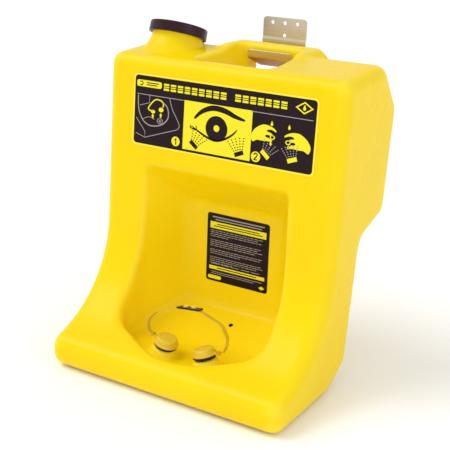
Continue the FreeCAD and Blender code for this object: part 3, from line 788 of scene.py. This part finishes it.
def make_bowl_label(dark, yellow, grey):
    lo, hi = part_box("bowl_label")
    lab = Label("bowl_label", Vector((lo.x, hi.y, lo.z)), Vector((1, 0, 0)), Vector((0, 0, 1)),
                Vector((0, -1, 0)), "tank")
    dress("bowl_label", dark, 0.12, 50)
    lab.ink("bands", [slab(6, 97.5, BOWL_W - 6, 109.5), slab(6, 22.0, BOWL_W - 6, 28.5)],
            yellow, INK)
    lab.ink("pill", [slab(4, 4.0, 31, 10.6, 3.0)], yellow, INK)
    lab.ink("mark", [[(112, 4.5), (118, 8), (112, 11.5), (106, 8)]], yellow, INK)
    # short blocks in broken rows stand for lines of print; a length of 0 is a blank row
    rows = [slab(10, 117.2, 113, 119.4), slab(16, 112.6, 108, 114.6)]
    lens = (0.96, 0.88, 0.93, 0.35, 0.0, 0.94, 0.9, 0.97, 0.82, 0.0, 0.95, 0.91, 0.55, 0.0,
            0.93, 0.97, 0.86, 0.42)
    y = 93.0
    for k, ln in enumerate(lens):
        if ln > 0:
            x, end, step = 7.0, 7.0 + (BOWL_W - 14) * ln, 0
            while x < end - 3:
                run = (7.5, 4.5, 9.5, 3.2, 6.0, 8.2)[(k * 5 + step) % 6]
                rows.append(slab(x, y, min(x + run, end), y + 1.15))
                x += run + 1.5
                step += 1
        y -= 3.5
    rows += [slab(x0, 32.0, x0 + 17, 33.2) for x0 in (10, 30, 50, 70, 90)]
    rows += [slab(10, 17.0, 112, 18.1), slab(10, 13.6, 96, 14.7)]
    lab.ink("lines", rows, grey, INK)
    lab.ink("band_bars", [slab(13, 101.0, 110, 102.6), slab(20, 104.8, 103, 106.4),
                          slab(22, 24.4, 101, 26.2)], dark, INK_2, THIN)


# ------------------------------------------------------------------ small parts
def make_covers(mat, rubber):
    for word, side in (("left", -1), ("right", 1)):
        axis, base = head_axis(side), head_base(side)
        outline = rounded_profile([
            (0.0, 14.9, 0), (12.0, 14.7, 0.4), (12.8, 15.2, 0.4), (15.2, 15.1, 0.8),
            (17.4, 13.2, 1.2), (19.4, 7.1, 0.7), (21.0, 6.4, 0.9), (21.2, 3.8, 0.5),
            (19.9, 3.8, 0.2), (19.3, 6.0, 0.4), (15.6, 11.8, 0.6), (14.4, 12.4, 0.4),
            (0.0, 12.6, 0)], 5)
        bm = lathe(outline, base, axis, 96, closed=False)
        dome = new_object("cover_dome_" + word, bm, mat, "strap")
        # the lug that the strap is pinned to, soft-cornered
        lug = bmesh.new()
        lean = Matrix.Rotation(math.radians(STRAP_LEAN), 4, "X")
        hinge = Vector((0, HEAD_Y, STRAP_Z))
        x0, x1 = (55.0, 68.0) if side > 0 else (-68.0, -55.0)
        flat = slab(x0, -4.0, x1, 4.0, 2.2)
        for z in (-4.6, -1.2):
            ring = [lug.verts.new(row(*((lean @ Vector((x, y, z))) + hinge))) for x, y in flat]
            lug.faces.new(ring if z < -2 else ring[::-1])
        lug.verts.ensure_lookup_table()
        n = len(flat)
        for k in range(n):
            j = (k + 1) % n
            lug.faces.new((lug.verts[k], lug.verts[j], lug.verts[n + j], lug.verts[n + k]))
        bmesh.ops.recalc_face_normals(lug, faces=lug.faces[:])
        tab = new_object("cover_lug_" + word, lug, mat, "strap", smooth=False)
        b = tab.modifiers.new("edge", "BEVEL")
        b.width, b.segments, b.limit_method = 0.6 * MM, 3, "ANGLE"
        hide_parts("cover_" + word)
        dress("cover_seal_" + word, rubber, 0.15)


# ------------------------------------------------------------------ build
make_camera()
make_stage()
M_TANK = tank_material()
M_CAP = moulded("cap_dark", (0.026, 0.006, 0.013), (0.046, 0.019, 0.029), 0.30, 260.0, 0.18,
                spec=0.2)
M_DARK = vinyl("label_dark", (0.014, 0.0055, 0.008), (0.020, 0.010, 0.012), 0.30)
M_YEL = vinyl("label_yellow", (0.86, 0.76, 0.022), (0.82, 0.72, 0.03), 0.30)
M_GREY = vinyl("label_grey", (0.33, 0.29, 0.27), (0.40, 0.36, 0.33), 0.32)
M_FILM = vinyl("label_film", (0.96, 0.77, 0.06), (0.94, 0.75, 0.05), 0.24)
# painted shade and reflection: the bracket's downward faces are painted reddish brown
M_STEEL = steel_material("steel_brushed", "x", paint_underside_shade=True)
M_COVER = moulded("cover_amber", (0.69, 0.475, 0.022), (0.80, 0.60, 0.07), 0.36, 180.0, 0.22,
                  spec=0.2)
M_STRAP = moulded("strap_vinyl", (0.62, 0.42, 0.02), (0.74, 0.54, 0.06), 0.34, 200.0, 0.2,
                  spec=0.25)
M_BLACK = moulded("head_black", (0.016, 0.010, 0.012), (0.04, 0.03, 0.032), 0.40, 300.0, 0.2,
                  spec=0.2)
M_RUBBER = moulded("rubber_dark", (0.02, 0.018, 0.018), (0.05, 0.046, 0.045), 0.62, 240.0, 0.35)
M_NUT = moulded("nut_grey", (0.10, 0.10, 0.105), (0.16, 0.16, 0.165), 0.45, 300.0, 0.2)
M_FACE = moulded("face_grey", (0.50, 0.50, 0.48), (0.60, 0.60, 0.58), 0.42, 260.0, 0.2)
M_CLIP = moulded("clip_dark", (0.016, 0.008, 0.010), (0.04, 0.028, 0.030), 0.30, 200.0, 0.2,
                 spec=0.15)
M_STUD = moulded("stud_pale", (0.86, 0.68, 0.20), (0.90, 0.76, 0.34), 0.30, 260.0, 0.15)
M_MESH = steel_material("screen_wire", "x", (0.55, 0.53, 0.50))

make_tank(M_TANK)
make_neck(M_TANK)
make_cap(M_CAP)
make_front_label(M_DARK, M_YEL, M_GREY, M_FILM)
make_bowl_label(M_DARK, M_YEL, M_GREY)
make_covers(M_COVER, M_RUBBER)
dress("cap_gasket", M_RUBBER, 0.2)
dress("wall_bracket", M_STEEL, 0.35, 40)
dress("activation_strap", M_STRAP, 0.35, 50)
dress("strap_clip", M_CLIP, 0.5)
# painted shade: the drain tube is black so that its bore reads as a dark hole
dress("drain_tube", M_BLACK, 0.2)
for side in ("left", "right"):
    dress("spray_head_" + side, M_BLACK, 0.3)
    dress("spray_face_" + side, M_FACE, 0.1)
    dress("stem_gasket_" + side, M_RUBBER, 0.25)
    dress("lock_nut_" + side, M_NUT, 0.4)
    dress("inlet_screen_" + side, M_MESH)
    dress("strap_pin_" + side, M_STRAP, 0.25)
    dress("clip_stud_" + side, M_STUD, 0.3)
